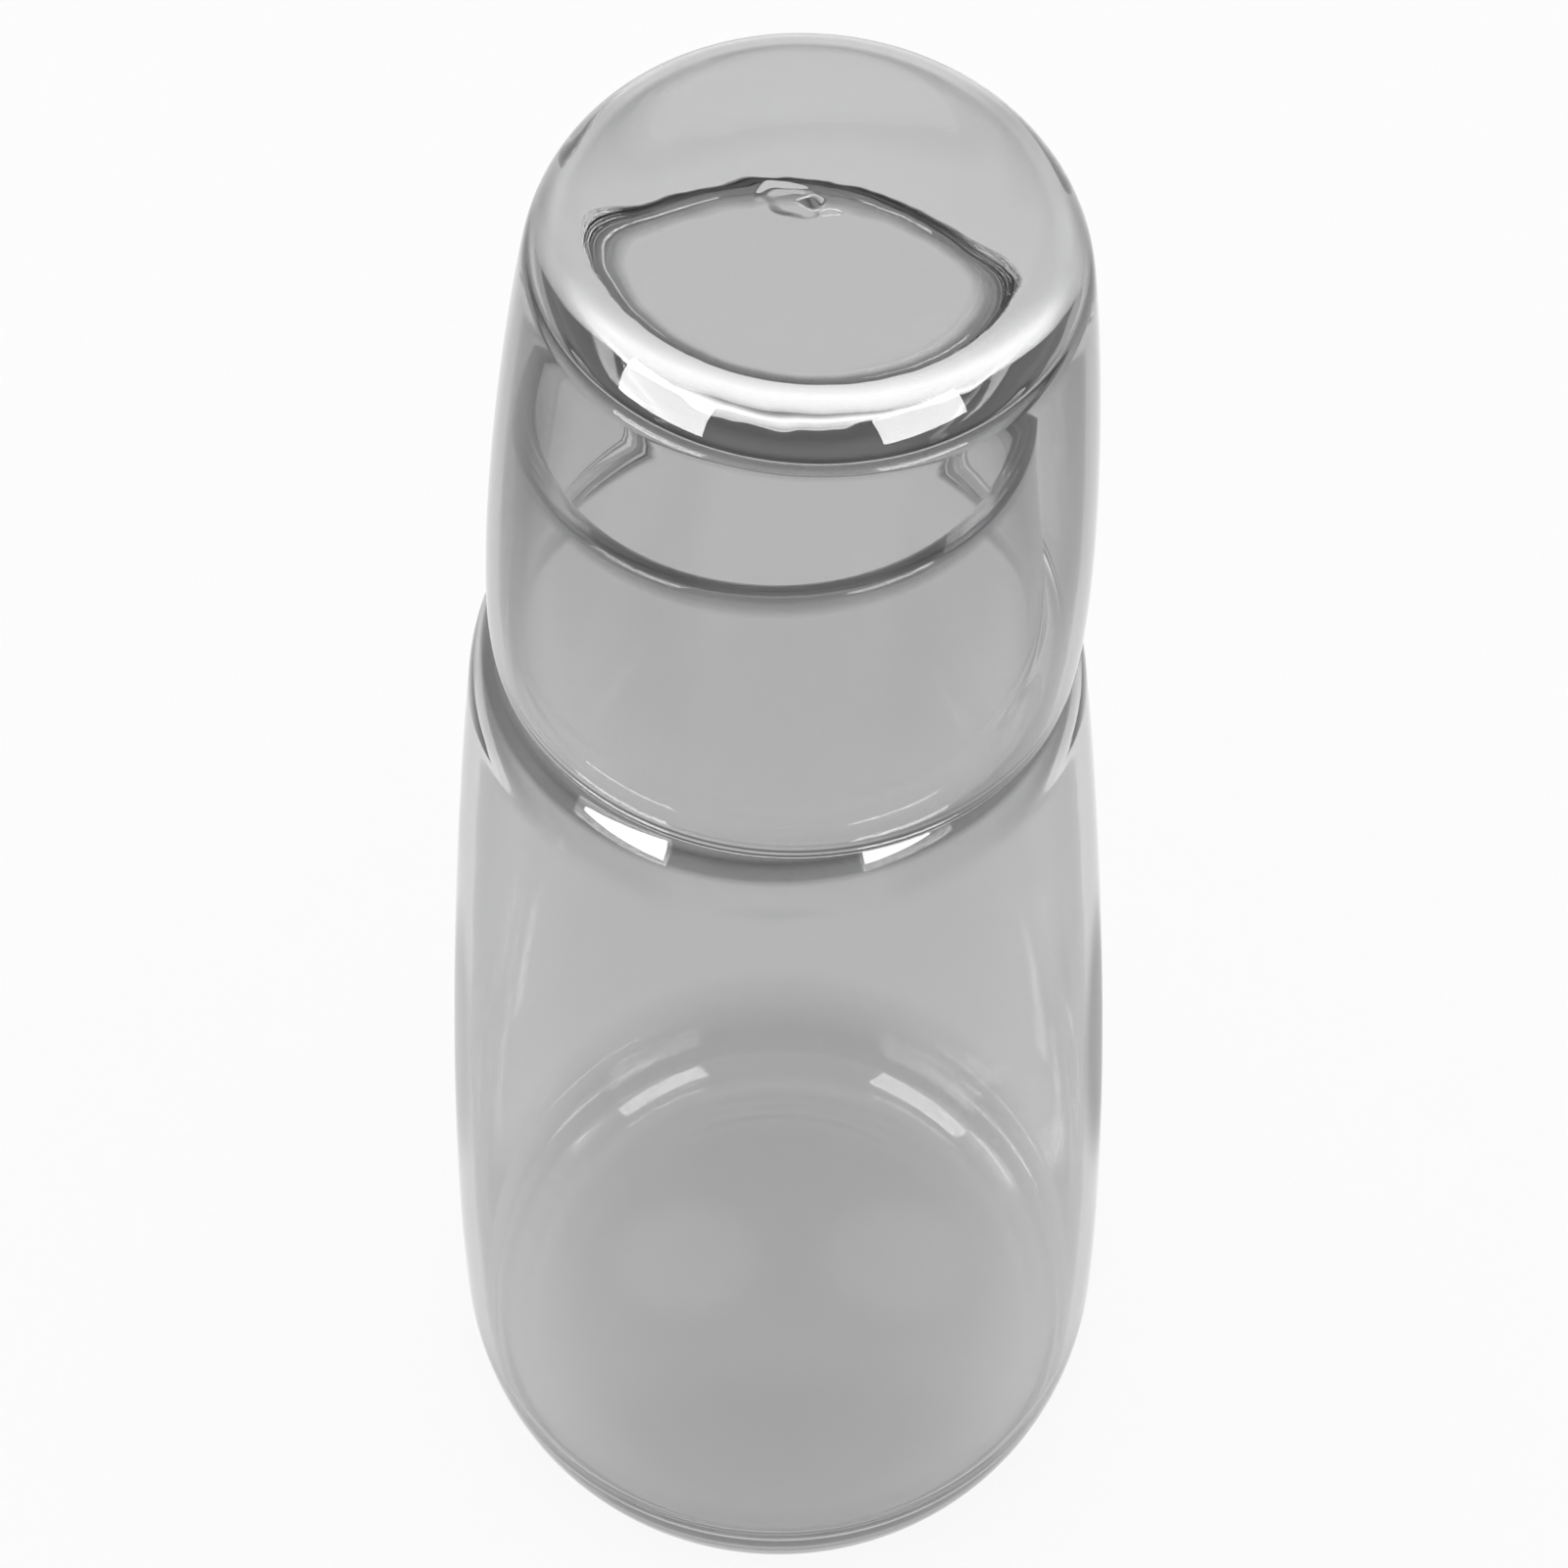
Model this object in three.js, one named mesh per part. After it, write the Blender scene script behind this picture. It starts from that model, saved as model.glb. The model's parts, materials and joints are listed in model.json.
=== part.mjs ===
// Carafe with its drinking tumbler upside down over the neck.
// Millimetres, +Z up, the origin at the middle of the carafe's foot.
import * as THREE from 'three';

// Carafe, outside
const footRadius = 37;
const bearingWidth = 4;
const puntDepth = 1.4;
const bodyRadius = 45.6;
const bodyWidestHeight = 20.5;
const shoulderRadius = 36.1;
const shoulderHeight = 160;
const ledgeRadius = 33;
const ledgeRise = 8.2;
const neckRootRadius = 30.6;
const neckRootRise = 7.8;
const mouthRadius = 27.9;
const neckHeight = 34;

// Carafe, glass
const bodyWall = 2.1;
const shoulderWall = 2.3;
const neckWall = 2.2;
const lipWall = 2.5;
const floorThickness = 3.2;
const insideHeelRun = 9;

// Tumbler, measured with its mouth down
const tumblerHeight = 69.5;
const tumblerWall = 1.5;
const tumblerBaseThickness = 9.4;
const ceilingRise = 0.4;
const cornerSpread = 1.6;
const cornerRise = 10.7;
const insideCornerRun = 1.2;
const tumblerFootRadius = 17.3;
const tumblerBearingWidth = 3.8;
const tumblerRecessDepth = 0.1;

// How the tumbler sits: off centre on the shoulder, leaning until its wall meets the lip
const neckClearance = 1.9;
const seatGap = 0.3;
const driftShare = 0.47;

// How far each curve keeps to the run of its ends, as a share of the stretch it spans
const roundShare = 0.55;
const bodyLowShare = 0.25;
const bodyHighShare = 0.32;
const shoulderBendShare = 0.47;
const ledgeBendShare = 0.32;
const neckRootBendShare = 0.34;
const neckBendShare = 0.35;
const flankLowShare = 0.28;
const flankHighShare = 0.22;
const cornerLowShare = 0.58;
const cornerHighShare = 0.56;
const puntBendShare = 0.5;

// Points of an outline closer than this share of the tumbler's wall are one
const weldShare = 0.001;

// How the glass runs at the stations between the curves, sideways for each unit upwards
const bodyLeanShare = -0.12;
const ledgeLeanShare = -0.667;
const neckRootLeanShare = -0.06;
const rimSpreadShare = 0.045;
const cornerLeanShare = -0.172;

// Fineness
const turnSteps = 56;
const curveSteps = 6;
const roundSteps = 8;
const settleSteps = 60;
const settleTurns = 36;

const glass = { color: 0xb4b4b6, roughness: 0.04, metalness: 0, transparent: true, opacity: 0.35 };

const ledgeHeight = shoulderHeight + ledgeRise;
const neckRootHeight = ledgeHeight + neckRootRise;
const carafeHeight = neckRootHeight + neckHeight;
const lipHeight = carafeHeight - lipWall / 2;
const floorHeight = puntDepth + floorThickness;
const rimRadius = neckRootRadius + neckClearance + tumblerWall;
const cornerRadius = mouthRadius + cornerSpread;
const cornerHeight = tumblerHeight - cornerRise;
const drift = driftShare * neckClearance;

// A station of an outline: its radius and height, the way the outline runs through it,
// and how far the curves before and after it keep to that run
function station(radius, height, run, before, after) {
  return { at: new THREE.Vector2(radius, height), run: run.normalize(), before, after };
}

function upwards(leanShare) {
  return new THREE.Vector2(leanShare, 1);
}

const outwards = () => new THREE.Vector2(1, 0);
const inwards = () => new THREE.Vector2(-1, 0);

// The same station on the other face of the glass, run through the other way
function acrossGlass(outer, wall) {
  const inward = new THREE.Vector2(-outer.run.y, outer.run.x);
  return {
    at: outer.at.clone().addScaledVector(inward, wall),
    run: outer.run.clone().negate(),
    before: outer.after,
    after: outer.before,
  };
}

// Joins stations by curves that leave and arrive along their runs
function follow(path, stations) {
  stations.slice(1).forEach((next, i) => {
    const last = stations[i];
    const leave = last.at.clone().addScaledVector(last.run, last.after);
    const arrive = next.at.clone().addScaledVector(next.run, -next.before);
    path.bezierCurveTo(leave.x, leave.y, arrive.x, arrive.y, next.at.x, next.at.y);
  });
}

// The points of a path, each curve in its own number of steps and no point twice
function outlineOf(path) {
  const least = weldShare * tumblerWall;
  const points = path.curves.flatMap((curve) => {
    if (curve.isLineCurve) return curve.getPoints(1);
    return curve.getPoints(curve.isEllipseCurve ? roundSteps : curveSteps);
  });
  return points.filter((point, i) => i === 0 || point.distanceTo(points[i - 1]) > least);
}

// A closed outline turned about the upright axis
function turned(name, outline) {
  const geometry = new THREE.LatheGeometry(outline, turnSteps);
  geometry.rotateX(Math.PI / 2);
  const mesh = new THREE.Mesh(geometry, new THREE.MeshStandardMaterial(glass));
  mesh.name = name;
  return mesh;
}

// The outside of the carafe, from the edge of its bearing ring up to the lip
function carafeOutside() {
  const bodyRise = shoulderHeight - bodyWidestHeight;
  const neckRise = lipHeight - neckRootHeight;
  return [
    station(footRadius, 0, outwards(), 0, roundShare * (bodyRadius - footRadius)),
    station(
      bodyRadius, bodyWidestHeight, upwards(0),
      roundShare * bodyWidestHeight, bodyLowShare * bodyRise,
    ),
    station(
      shoulderRadius, shoulderHeight, upwards(bodyLeanShare),
      bodyHighShare * bodyRise, shoulderBendShare * ledgeRise,
    ),
    station(
      ledgeRadius, ledgeHeight, upwards(ledgeLeanShare),
      ledgeBendShare * ledgeRise, ledgeBendShare * neckRootRise,
    ),
    station(
      neckRootRadius, neckRootHeight, upwards(neckRootLeanShare),
      neckRootBendShare * neckRootRise, neckBendShare * neckRise,
    ),
    station(mouthRadius, lipHeight, upwards(0), neckBendShare * neckRise, 0),
  ];
}

function carafeOutline() {
  const outside = carafeOutside();
  const [, widest, shoulder, ledge, neckRoot, lip] = outside;
  const bearingInside = footRadius - bearingWidth;
  const insideFloorRadius = bodyRadius - bodyWall - insideHeelRun;
  const insideHeel = acrossGlass(widest, bodyWall);
  insideHeel.after = roundShare * (bodyWidestHeight - floorHeight);
  const path = new THREE.Path();
  path.moveTo(0, puntDepth);
  follow(path, [
    station(0, puntDepth, outwards(), 0, puntBendShare * bearingInside),
    station(bearingInside, 0, new THREE.Vector2(bearingWidth, -puntDepth), bearingWidth, 0),
  ]);
  path.lineTo(footRadius, 0);
  follow(path, outside);
  path.absarc(mouthRadius - lipWall / 2, lipHeight, lipWall / 2, 0, Math.PI, false);
  follow(path, [
    acrossGlass(lip, lipWall),
    acrossGlass(neckRoot, neckWall),
    acrossGlass(ledge, shoulderWall),
    acrossGlass(shoulder, bodyWall),
    insideHeel,
    station(insideFloorRadius, floorHeight, inwards(), roundShare * insideHeelRun, 0),
  ]);
  path.lineTo(0, floorHeight);
  return outlineOf(path);
}

// The two stations that the tumbler's side runs between, just above its rim and below its corner
function tumblerSide() {
  const rimRun = upwards(rimSpreadShare).normalize();
  const rimOutward = new THREE.Vector2(rimRun.y, -rimRun.x);
  const rimEdge = new THREE.Vector2(rimRadius - tumblerWall / 2, tumblerWall / 2);
  rimEdge.addScaledVector(rimOutward, tumblerWall / 2);
  const sideRise = cornerHeight - rimEdge.y;
  return [
    station(rimEdge.x, rimEdge.y, rimRun, 0, flankLowShare * sideRise),
    station(
      cornerRadius, cornerHeight, upwards(cornerLeanShare),
      flankHighShare * sideRise, cornerLowShare * cornerRise,
    ),
  ];
}

function tumblerOutline() {
  const [rim, corner] = tumblerSide();
  const insideCorner = acrossGlass(corner, tumblerWall);
  const insideCeiling = tumblerHeight - tumblerBaseThickness;
  const ceilingRadius = insideCorner.at.x - insideCornerRun;
  const ceilingBend = puntBendShare * ceilingRadius;
  const cornerBend = cornerHighShare * (cornerRadius - tumblerFootRadius);
  const rimTurn = Math.atan2(rim.run.x, rim.run.y);
  const recessRadius = tumblerFootRadius - tumblerBearingWidth;
  insideCorner.before = roundShare * (insideCeiling - insideCorner.at.y);
  const path = new THREE.Path();
  path.moveTo(0, insideCeiling + ceilingRise);
  follow(path, [
    station(0, insideCeiling + ceilingRise, outwards(), 0, ceilingBend),
    station(ceilingRadius, insideCeiling, outwards(), ceilingBend, roundShare * insideCornerRun),
    insideCorner,
    acrossGlass(rim, tumblerWall),
  ]);
  path.absarc(
    rimRadius - tumblerWall / 2, tumblerWall / 2, tumblerWall / 2,
    Math.PI - rimTurn, 2 * Math.PI - rimTurn, false,
  );
  follow(path, [
    rim,
    corner,
    station(tumblerFootRadius, tumblerHeight, inwards(), cornerBend, 0),
  ]);
  path.lineTo(recessRadius, tumblerHeight);
  follow(path, [
    station(
      recessRadius, tumblerHeight, new THREE.Vector2(-tumblerBearingWidth, -tumblerRecessDepth),
      0, tumblerBearingWidth,
    ),
    station(0, tumblerHeight - tumblerRecessDepth, inwards(), puntBendShare * recessRadius, 0),
  ]);
  return outlineOf(path);
}

// The least room between the tumbler's rim and the outside of the carafe, all the way round
function rimRoom(carafeSide, height, lean) {
  const ringRadius = rimRadius - tumblerWall / 2;
  const ringRise = tumblerWall / 2;
  let least = Infinity;
  for (let i = 0; i < settleTurns; i += 1) {
    const turn = (2 * Math.PI * i) / settleTurns;
    const place = new THREE.Vector3(ringRadius * Math.cos(turn), ringRadius * Math.sin(turn), ringRise);
    place.applyAxisAngle(new THREE.Vector3(0, 1, 0), lean);
    place.add(new THREE.Vector3(drift, 0, height));
    const seen = new THREE.Vector3(Math.hypot(place.x, place.y), place.z, 0);
    const nearest = new THREE.Vector3();
    carafeSide.forEach((edge) => {
      edge.closestPointToPoint(seen, true, nearest);
      least = Math.min(least, nearest.distanceTo(seen) - tumblerWall / 2);
    });
  }
  return least;
}

// The radius of the tumbler's inside at a height above its rim
function insideRadiusAt(height) {
  const [rim, corner] = tumblerSide();
  const above = acrossGlass(corner, tumblerWall);
  const path = new THREE.Path();
  path.moveTo(above.at.x, above.at.y);
  follow(path, [above, acrossGlass(rim, tumblerWall)]);
  const points = path.curves[0].getPoints(settleSteps);
  const i = points.findIndex((point) => point.y < height);
  const share = (height - points[i].y) / (points[i - 1].y - points[i].y);
  return points[i].x + share * (points[i - 1].x - points[i].x);
}

// Lowers the tumbler on to the shoulder and leans it on the lip
function settled() {
  const path = new THREE.Path();
  const outside = carafeOutside();
  path.moveTo(footRadius, 0);
  follow(path, outside);
  const points = outlineOf(path).map((point) => new THREE.Vector3(point.x, point.y, 0));
  const carafeSide = points.slice(1).map((point, i) => new THREE.Line3(points[i], point));
  let height = ledgeHeight;
  let lean = 0;
  for (let i = 0; i < settleSteps; i += 1) {
    const lipLevel = lipHeight - height;
    lean = Math.atan2(insideRadiusAt(lipLevel) - mouthRadius - drift - seatGap, lipLevel);
    height += seatGap - rimRoom(carafeSide, height, lean);
  }
  return { height, lean };
}

const carafe = turned('carafe', carafeOutline());
const tumbler = turned('tumbler', tumblerOutline());
const seat = settled();
tumbler.position.set(drift, 0, seat.height);
tumbler.rotation.y = seat.lean;

const carafeWithTumbler = new THREE.Group();
carafeWithTumbler.add(carafe, tumbler);

export default carafeWithTumbler;
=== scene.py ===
import json
import math

import bmesh
import bpy
from bpy.props import FloatProperty, FloatVectorProperty, IntProperty, PointerProperty
from mathutils import Matrix, Vector
from mathutils.geometry import interpolate_bezier


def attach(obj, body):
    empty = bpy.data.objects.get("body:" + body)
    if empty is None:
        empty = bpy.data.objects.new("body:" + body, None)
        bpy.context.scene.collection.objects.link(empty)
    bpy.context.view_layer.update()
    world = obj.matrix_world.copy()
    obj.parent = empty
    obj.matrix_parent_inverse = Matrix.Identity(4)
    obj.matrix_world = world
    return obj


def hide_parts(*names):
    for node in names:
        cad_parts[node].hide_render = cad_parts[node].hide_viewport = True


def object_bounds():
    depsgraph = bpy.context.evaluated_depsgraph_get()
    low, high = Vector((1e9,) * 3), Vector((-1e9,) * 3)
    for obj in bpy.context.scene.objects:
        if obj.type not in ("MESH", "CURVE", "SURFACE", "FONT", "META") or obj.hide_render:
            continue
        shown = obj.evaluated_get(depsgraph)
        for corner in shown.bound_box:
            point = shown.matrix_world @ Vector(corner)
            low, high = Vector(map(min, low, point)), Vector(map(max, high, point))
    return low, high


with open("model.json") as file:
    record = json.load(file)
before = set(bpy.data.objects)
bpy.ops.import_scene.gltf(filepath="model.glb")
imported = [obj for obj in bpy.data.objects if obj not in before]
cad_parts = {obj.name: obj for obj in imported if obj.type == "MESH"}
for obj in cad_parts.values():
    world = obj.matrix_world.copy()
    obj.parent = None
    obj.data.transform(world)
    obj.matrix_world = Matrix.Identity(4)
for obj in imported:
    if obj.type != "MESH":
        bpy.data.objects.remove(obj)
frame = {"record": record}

# A smoke grey glass carafe with its drinking tumbler upside down over the neck.
# Metres, +Z up, the origin at the middle of the carafe's foot.

bl_info = {
    "name": "Carafe with tumbler",
    "version": (1, 0, 0),
    "blender": (4, 5, 0),
    "location": "3D View > Sidebar > Carafe",
    "description": "Turns the glass of a carafe and its tumbler, and sets a stage of soft light round them",
    "category": "Add Mesh",
}

CAD_LOW, CAD_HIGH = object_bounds()
MILLIMETRE = 0.001

# Outlines: points nearer than this are one, and a count this little over a whole number is that number.
SAME_POINT = MILLIMETRE / 100
COUNT_SLACK = 0.001

# Zones of tint. Most of them end within a few skins of glass.
SKIN = MILLIMETRE / 4
HEEL_FADES = (0.5, 1.3)              # shares of the widest height
LIP_DARKENS = (1.15, 0.85)           # lip walls under the mouth
RIM_LINE = (0.4, 0.45, 0.8, 0.9)     # walls over the tumbler's rim, where the painted dark contact line lies
CORNER_SHADE = (-3, 4, 7.5, 9)       # skins over the tumbler's ceiling, where the painted dark band lies

# Clouds of noise, as how many there are in a metre and how many finer layers they have.
CLOUDS = (22.0, 2.0)
SMEARS = (90.0, 4.0)
WAVES = (45.0, 1.0)
SWIRL = (260.0, 1.0)
RIPPLE_DETAIL = 2.0                  # the finer layers of the ripples in the pressed base
CLOUD_SHARE = 0.06                   # how much the clouds change the tint
SMEARED = (0.45, 0.8)                # the part of the smears that dulls the gloss
SMEAR_ROUGHNESS = 0.03
WAVE_STRENGTH = 0.05                 # how much of their depth the waves show
WAVE_DEPTH = 0.4 * MILLIMETRE

# The scar on the tumbler's base: an oval is across, forth, half width and half depth, in widths of the scar.
SCAR_PLACE = (-0.5 * MILLIMETRE, -1.3 * MILLIMETRE)
SCAR_RING = (-0.35, 0.0, 0.5, 0.42)
SCAR_RING_HOLE = (-0.22, -0.02, 0.42, 0.32)
SCAR_SPOT = (0.02, 0.0, 0.3, 0.14)
SCAR_CHIP = (0.3, -0.22, 0.24, 0.1)
SCAR_CORE = 0.35                     # the level share of each oval
SCAR_BEND = 0.5                      # how far the swirl bends the ovals, in widths of the scar
SCAR_TOP = (-0.4, -0.3)              # where the scar ends, going down into the glass, in widths of the scar
RING_DEPTH = 0.5                     # shares of the spot's depth
CHIP_DEPTH = 0.7
SPOT_SHADE = 0.8                     # how much of the light the spot takes

# What glass shows far off. Aside is none straight ahead or behind, and one at right angles to that.
BACKDROP_ASIDE = (0.25, 0.45)        # the bright paper behind fades between these
SIDES_ASIDE = (0.45, 0.68)           # the darker sides come in between these
NEAR_PAPER = (0.15, 0.35)            # metres from the carafe at which the far paper comes in
ROOM_REAR = 0.3                      # where the rear of the room starts; one is straight behind
CEILING_RISE = (0.03, 0.25)          # where the dark room above comes in; one is straight up
SHADE_CORE = 0.2                     # the level share of each shade on the paper
PAPER_DROP = MILLIMETRE / 20         # the paper is this far under the foot, so that they share no plane
CAMERA_REACH = (0.01, 50)            # the nearest and the furthest that the camera sees, in metres
NODE_STEP = 220                      # how far apart the nodes lie in the editor


def length(name, description, millimetres):
    """A size that a user may change, given here in millimetres."""
    return FloatProperty(
        name=name, description=description, default=millimetres * MILLIMETRE,
        subtype="DISTANCE", unit="LENGTH", precision=5,
    )


def angle(name, description, degrees):
    """An angle that a user may change, given here in degrees."""
    return FloatProperty(
        name=name, description=description, default=math.radians(degrees), subtype="ANGLE", unit="ROTATION",
    )


def share(name, description, default):
    """A plain number without a unit."""
    return FloatProperty(name=name, description=description, default=default, precision=3)


def colour(name, description, default):
    """A colour that a user may change."""
    return FloatVectorProperty(
        name=name, description=description, default=default, size=3, min=0, max=1, subtype="COLOR",
    )


class CarafeSizes(bpy.types.PropertyGroup):
    """The outline of the carafe."""

    foot_radius: length("Foot radius", "Outer edge of the ring that it stands on", 37)
    bearing_width: length("Bearing width", "Width of the ring that it stands on", 4)
    punt_depth: length("Punt depth", "How far the middle of the foot is pushed up", 1.4)
    body_radius: length("Body radius", "Radius at the widest place", 45.6)
    widest_height: length("Widest height", "Height of the widest place", 20.5)
    shoulder_radius: length("Shoulder radius", "Radius where the side ends", 36.1)
    shoulder_height: length("Shoulder height", "Height where the side ends", 160)
    ledge_radius: length("Ledge radius", "Radius where the tumbler rests", 33)
    ledge_rise: length("Ledge rise", "Height of the ledge over the shoulder", 8.2)
    neck_root_radius: length("Neck root radius", "Radius where the neck starts", 30.6)
    neck_root_rise: length("Neck root rise", "Height of the neck's start over the ledge", 7.8)
    mouth_radius: length("Mouth radius", "Outer radius of the lip", 27.9)
    neck_height: length("Neck height", "Height of the lip over the neck's start", 34)
    body_wall: length("Body wall", "Thickness of the side", 2.1)
    shoulder_wall: length("Shoulder wall", "Thickness of the ledge", 2.3)
    neck_wall: length("Neck wall", "Thickness of the neck", 2.2)
    lip_wall: length("Lip wall", "Thickness of the rounded lip", 2.5)
    floor_thickness: length("Floor thickness", "Thickness of the floor at its middle", 3.2)
    inside_heel_run: length("Inside heel run", "Width of the curve between floor and side, inside", 9)


class TumblerSizes(bpy.types.PropertyGroup):
    """The outline of the tumbler, with its mouth down."""

    height: length("Height", "Height of the tumbler", 69.5)
    wall: length("Wall", "Thickness of the side", 1.5)
    base_thickness: length("Base thickness", "Thickness of the base over the ceiling inside", 9.4)
    rim_radius: length("Rim radius", "Outer radius of the rim", 34)
    corner_radius: length("Corner radius", "Radius where the side starts to turn into the base", 29.5)
    corner_rise: length("Corner rise", "Height of the turn into the base", 10.7)
    inside_corner_run: length("Inside corner run", "Width of the curve between ceiling and side, inside", 1.2)
    ceiling_rise: length("Ceiling rise", "How far the middle of the ceiling is above its edge", 0.4)
    foot_radius: length("Foot radius", "Outer edge of the bearing ring", 17.3)
    bearing_width: length("Bearing width", "Width of the bearing ring", 3.8)
    recess_depth: length("Recess depth", "Depth of the hollow inside the bearing ring", 0.1)


class CurveShares(bpy.types.PropertyGroup):
    """How far each curve keeps to the run of its ends, as a share of the stretch that it spans."""

    round: share("Round", "A quarter turn", 0.55)
    body_low: share("Body, low", "The side above the widest place", 0.25)
    body_high: share("Body, high", "The side below the shoulder", 0.32)
    shoulder_bend: share("Shoulder bend", "The turn from side to ledge", 0.47)
    ledge_bend: share("Ledge bend", "Both sides of the ledge", 0.32)
    neck_root_bend: share("Neck root bend", "The turn from ledge to neck", 0.34)
    neck_bend: share("Neck bend", "The neck", 0.35)
    flank_low: share("Flank, low", "The tumbler's side over its rim", 0.28)
    flank_high: share("Flank, high", "The tumbler's side under its corner", 0.22)
    corner_low: share("Corner, low", "The corner's upright end", 0.58)
    corner_high: share("Corner, high", "The corner's level end", 0.56)
    punt_bend: share("Punt bend", "The hollows under the feet", 0.5)
    body_lean: share("Body lean", "Sideways run at the shoulder for each unit up", -0.12)
    ledge_lean: share("Ledge lean", "Sideways run at the ledge", -0.667)
    neck_root_lean: share("Neck root lean", "Sideways run at the neck's start", -0.06)
    rim_spread: share("Rim spread", "Sideways run of the tumbler at its rim", 0.045)
    corner_lean: share("Corner lean", "Sideways run of the tumbler below its corner", -0.172)


class GlassFinish(bpy.types.PropertyGroup):
    """Fineness, colour and small unevenness of the glass."""

    turn_steps: IntProperty(name="Turn steps", description="Faces round each piece", default=180, min=24)
    outline_step: length("Outline step", "Longest step along an outline", 1.5)
    least_steps: IntProperty(name="Least steps", description="Fewest steps in one curve", default=14, min=2)
    bearing_tint: colour("Bearing tint", "What the ring that it stands on lets through", (0.62, 0.62, 0.623))
    floor_tint: colour("Floor tint", "What the carafe's floor lets through", (0.595, 0.595, 0.6))
    heel_tint: colour("Heel tint", "What the turn from floor to side lets through", (0.46, 0.46, 0.463))
    body_tint: colour("Body tint", "What one wall of the carafe lets through", (0.685, 0.685, 0.688))
    # Partly the thicker glass of the ledge, partly painted shade: the dark crescent under the tumbler's rim is painted
    # into this tint.
    ledge_tint_and_shade: colour("Ledge tint", "What the thick glass of the ledge lets through", (0.16, 0.16, 0.162))
    neck_tint: colour("Neck tint", "What the carafe's neck lets through", (0.91, 0.91, 0.912))
    lip_tint: colour("Lip tint", "What the carafe's lip lets through", (0.3, 0.3, 0.302))
    tumbler_tint: colour("Tumbler tint", "What one wall of the tumbler lets through", (0.69, 0.69, 0.693))
    # Painted shade: a near black contact line where the tumbler's rim sits on the ledge, painted into the glass.
    rim_shade_tint: colour("Rim tint", "What the line round the tumbler's rim lets through", (0.01, 0.01, 0.01))
    # Painted shade: a dark band in the tumbler's base just over the ceiling, where the thick corner reflects the dark
    # room inside the glass.
    corner_shade_tint: colour(
        "Corner tint", "What the tumbler's side lets through just over the ceiling", (0.15, 0.15, 0.152))
    base_tint: colour("Base tint", "What the tumbler's base lets through", (0.96, 0.96, 0.962))
    edge_tint: share("Edge tint", "Share of the tint that is left where the glass is seen edge on", 0.1)
    carafe_edge: share("Carafe edge", "Where the carafe starts to darken; none is face on, one is edge on", 0.64)
    tumbler_edge: share("Tumbler edge", "Where the tumbler starts to darken; none is face on, one is edge on", 0.5)
    edge_end: share("Edge end", "Where both are at their darkest; none is face on, one is edge on", 0.95)
    depth_tint: FloatProperty(name="Depth tint", description="Loss for each metre of glass", default=3, min=0)
    refraction: share("Refraction", "How strongly the glass bends light, as its index of refraction", 1.5)
    ripple_depth: length("Ripple depth", "Unevenness of the pressed glass", 0.05)
    ripple_size: length("Ripple size", "Width of one ripple", 7)
    mark_depth: length("Mark depth", "Depth of the scar where the gob was cut", 0.16)
    mark_size: length("Mark size", "Width of that scar", 6.5)


class StageSettings(bpy.types.PropertyGroup):
    """The camera, the floor and the lights."""

    camera_back: length("Camera back", "How far the camera stands in front of the carafe", 270.5)
    camera_height: length("Camera height", "Height of the camera", 522.3)
    camera_pitch: angle("Camera pitch", "How far the camera looks down", 54.96)
    camera_yaw: angle("Camera yaw", "How far the camera turns to the right", 0.158)
    camera_lens: FloatProperty(name="Camera lens", description="Focal length in millimetres", default=88.8)
    camera_sensor: FloatProperty(name="Camera sensor", description="Width of the sensor in millimetres", default=36)
    floor_size: length("Floor size", "Side of the floor", 8000)
    paper_colour: colour("Paper colour", "Colour of the paper on the floor", (0.92, 0.92, 0.92))
    white_share: share("White share", "How much of the paper shows plain white; light falls on the rest", 0.88)
    softbox_away: length("Softbox distance", "How far each softbox is from the carafe", 1000)
    softbox_rise: angle("Softbox rise", "How high the middles of the softboxes are over the table", 13)
    softbox_level: share("Softbox level", "Brightness of the softboxes, where one is white", 18)
    left_turn: angle("Left turn", "How far round from the camera's side the left softbox stands", 52)
    left_wide: length("Left width", "Width of the left softbox", 620)
    left_high: length("Left height", "Height of the left softbox", 560)
    right_turn: angle("Right turn", "How far round from the camera's side the right softbox stands", 42)
    right_wide: length("Right width", "Width of the right softbox", 560)
    right_high: length("Right height", "Height of the right softbox", 440)
    backdrop_level: share("Backdrop level", "Brightness of the paper at the rear, as glass shows it", 2.2)
    left_shade: share("Left shade", "Depth of the shade on the paper left of the foot, as glass shows it", 0.2)
    right_shade: share("Right shade", "Depth of the shade on the paper right of the foot, as glass shows it", 0.45)
    side_shade: share("Side shade", "Depth of the shade further out at both sides, as glass shows it", 0.15)
    foot_shade: share("Foot shade", "Depth of the shade on the paper under the foot, as glass shows it", 0.11)
    foot_glow: share("Foot glow", "Light that the glass gathers on the paper under the foot, as glass shows it", 0.12)
    ceiling_level: share("Ceiling level", "Brightness of the room above, as glass shows it", 0.13)
    side_level: share("Side level", "Brightness of the room at both sides, as glass shows it", 0.6)
    room_level: share("Room level", "Brightness of the room on plain surfaces", 0.9)
    light_turns: IntProperty(
        name="Light turns", description="How often light may turn inside the glass", default=64, min=12)


class Value:
    """A number that a node gives. Python's signs add Math nodes to its tree."""

    def __init__(self, graph, socket):
        self.graph = graph
        self.socket = socket

    def maths(self, operation, *terms):
        return self.graph.value("ShaderNodeMath", {"operation": operation}, dict(enumerate(terms)))

    def __add__(self, other):
        return self.maths("ADD", self, other)

    def __sub__(self, other):
        return self.maths("SUBTRACT", self, other)

    def __rsub__(self, other):
        return self.maths("SUBTRACT", other, self)

    def __mul__(self, other):
        return self.maths("MULTIPLY", self, other)

    def __truediv__(self, other):
        return self.maths("DIVIDE", self, other)

    def __rtruediv__(self, other):
        return self.maths("DIVIDE", other, self)

    __radd__ = __add__
    __rmul__ = __mul__

    def power(self, other):
        return self.maths("POWER", self, other)

    def greatest(self, other):
        return self.maths("MAXIMUM", self, other)


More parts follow.
